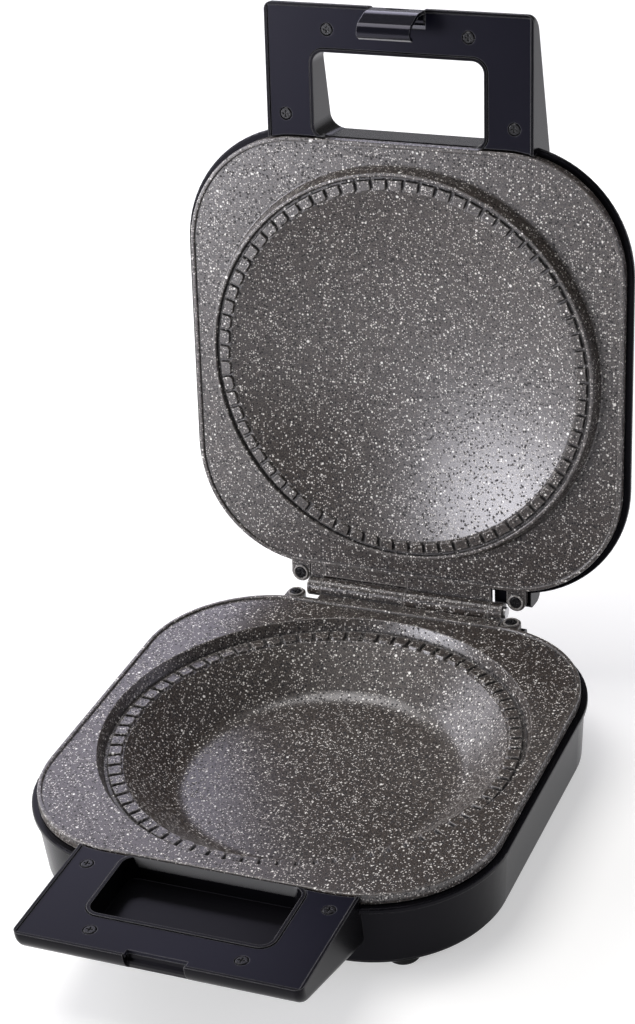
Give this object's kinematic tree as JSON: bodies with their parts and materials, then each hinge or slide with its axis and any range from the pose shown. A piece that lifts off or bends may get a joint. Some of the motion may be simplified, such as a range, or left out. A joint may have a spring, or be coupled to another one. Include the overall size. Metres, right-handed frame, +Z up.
{
  "type": "pie maker",
  "caption": "Electric pie maker: a hinged domed lid over a deep round well with a fluted crimping ring, grips front and latch.",
  "frame": {"origin": "middle of the whole open object's footprint, on the surface the feet stand on", "axes": "+X along the hinge, -Y towards the grips, +Z up"},
  "size_m": [0.2428, 0.3778, 0.3605],
  "materials": {
    "stone_coating": "cast aluminium under a dark warm-grey non-stick coating with dense pale specks",
    "black_casing": "black satin moulded plastic",
    "grip_cover": "fine-textured blue-black plastic",
    "black_gloss": "polished black plastic",
    "rubber": "matt black rubber",
    "black_steel": "blackened steel",
    "bright_steel": "plain drawn steel",
    "heater_sheath": "heat-tinted steel sheath",
    "terminal_white": "off-white heat-proof moulding",
    "lens_red": "clear red lens",
    "lens_green": "clear green lens",
    "lamp_glass": "small neon lamp"
  },
  "bodies": {
    "base": {"base_housing": "black_casing", "lower_plate": "stone_coating", "lower_grip_cover": "grip_cover", "lower_grip_screws": "black_steel", "lower_ear_screws": "black_steel", "bottom_cover": "black_casing", "bottom_cover_screws": "black_steel", "lower_heating_element": "heater_sheath", "lower_element_clamps": "bright_steel", "thermostat": "bright_steel", "thermal_fuse": "terminal_white", "terminal_block": "terminal_white", "cord_inlet_grommet": "rubber", "hinge_pin": "bright_steel", "foot_rear_left": "rubber", "foot_front_left": "rubber", "foot_rear_right": "rubber", "foot_front_right": "rubber"},
    "lid": {"lid_housing": "black_casing", "upper_plate": "stone_coating", "upper_grip_cover": "grip_cover", "upper_grip_screws": "black_steel", "upper_ear_screws": "black_steel", "upper_heating_element": "heater_sheath", "upper_element_clamps": "bright_steel", "power_lens": "lens_red", "ready_lens": "lens_green", "indicator_lamps": "lamp_glass", "latch_pin": "bright_steel", "latch_spring": "bright_steel"},
    "latch": {"latch": "black_gloss"}
  },
  "joints": [
    {"name": "lid_hinge", "type": "hinge", "parent": "base", "child": "lid", "pos_m": [0, 0.1281, 0.0462], "axis": [1, 0, 0], "range_deg": [0, 97.4]},
    {"name": "latch_pivot", "type": "hinge", "parent": "lid", "child": "latch", "pos_m": [0, 0.17279, 0.35451], "axis": [-1, 0, 0], "range_deg": [0, 24], "stiffness_Nm_per_rad": 0.12, "springref_deg": -11.46}
  ]
}
